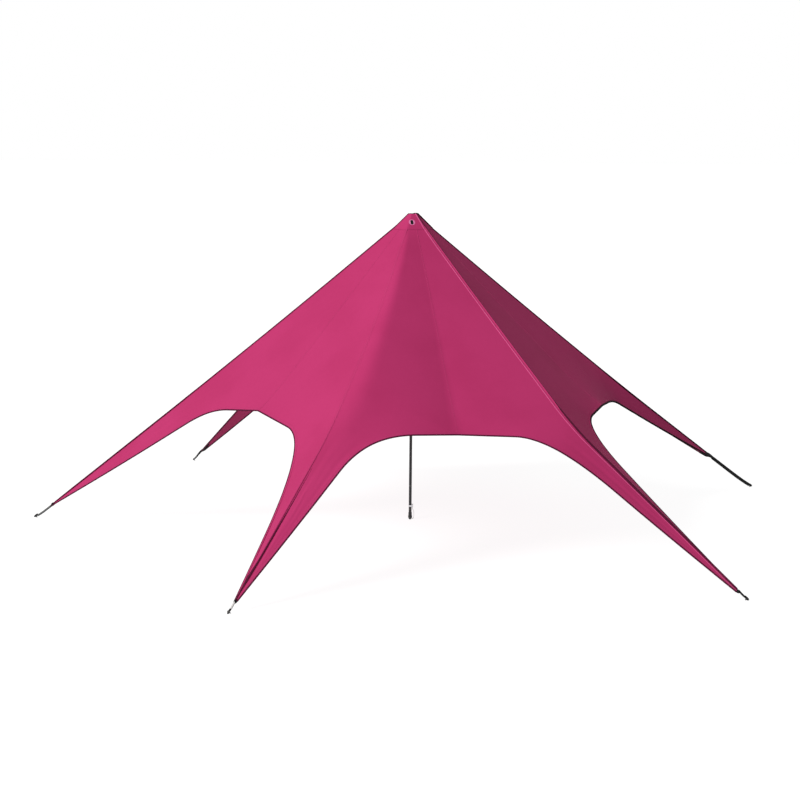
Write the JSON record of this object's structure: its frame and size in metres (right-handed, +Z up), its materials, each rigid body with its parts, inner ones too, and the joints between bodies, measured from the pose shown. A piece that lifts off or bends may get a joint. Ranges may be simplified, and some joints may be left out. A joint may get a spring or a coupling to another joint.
{
  "type": "peak tent",
  "caption": "Star-shaped shade tent: a seamed cloth canopy on one centre mast, drawn down to ground pegs at its pointed legs.",
  "frame": {"origin": "centre of the mast foot's flat face on the ground", "axes": "+Z up the mast; -Y towards the front panel's middle; +X to the right seen from the front"},
  "size_m": [10.2923, 8.387, 4.055],
  "materials": {
    "canopy_cloth": "matt woven polyester with a soft sheen",
    "tip_webbing": "black heavy webbing",
    "strap_webbing": "grey webbing",
    "mast_paint": "black powder coat",
    "black_fitting": "black satin paint, scuffed",
    "zinc_fitting": "zinc plate"
  },
  "bodies": {
    "root": {"front_gore_left": "canopy_cloth", "front_gore_right": "canopy_cloth", "right_front_gore_left": "canopy_cloth", "right_front_gore_right": "canopy_cloth", "right_back_gore_left": "canopy_cloth", "right_back_gore_right": "canopy_cloth", "back_gore_left": "canopy_cloth", "back_gore_right": "canopy_cloth", "left_back_gore_left": "canopy_cloth", "left_back_gore_right": "canopy_cloth", "left_front_gore_left": "canopy_cloth", "left_front_gore_right": "canopy_cloth", "crown_cap": "canopy_cloth", "crown_eyelet": "zinc_fitting", "mast_head": "black_fitting", "mast_upper_tube": "mast_paint", "mast_joint_collar": "black_fitting", "mast_lower_tube": "mast_paint", "mast_foot": "black_fitting", "foot_strap_buckle": "zinc_fitting", "foot_strap": "strap_webbing", "front_left_tip_webbing": "tip_webbing", "front_left_strap": "strap_webbing", "front_left_peg": "black_fitting", "front_right_tip_webbing": "tip_webbing", "front_right_strap": "strap_webbing", "front_right_peg": "black_fitting", "right_tip_webbing": "tip_webbing", "right_strap": "strap_webbing", "right_peg": "black_fitting", "back_right_tip_webbing": "tip_webbing", "back_right_strap": "strap_webbing", "back_right_peg": "black_fitting", "back_left_tip_webbing": "tip_webbing", "back_left_strap": "strap_webbing", "back_left_peg": "black_fitting", "left_tip_webbing": "tip_webbing", "left_strap": "strap_webbing", "left_peg": "black_fitting"}
  },
  "joints": []
}
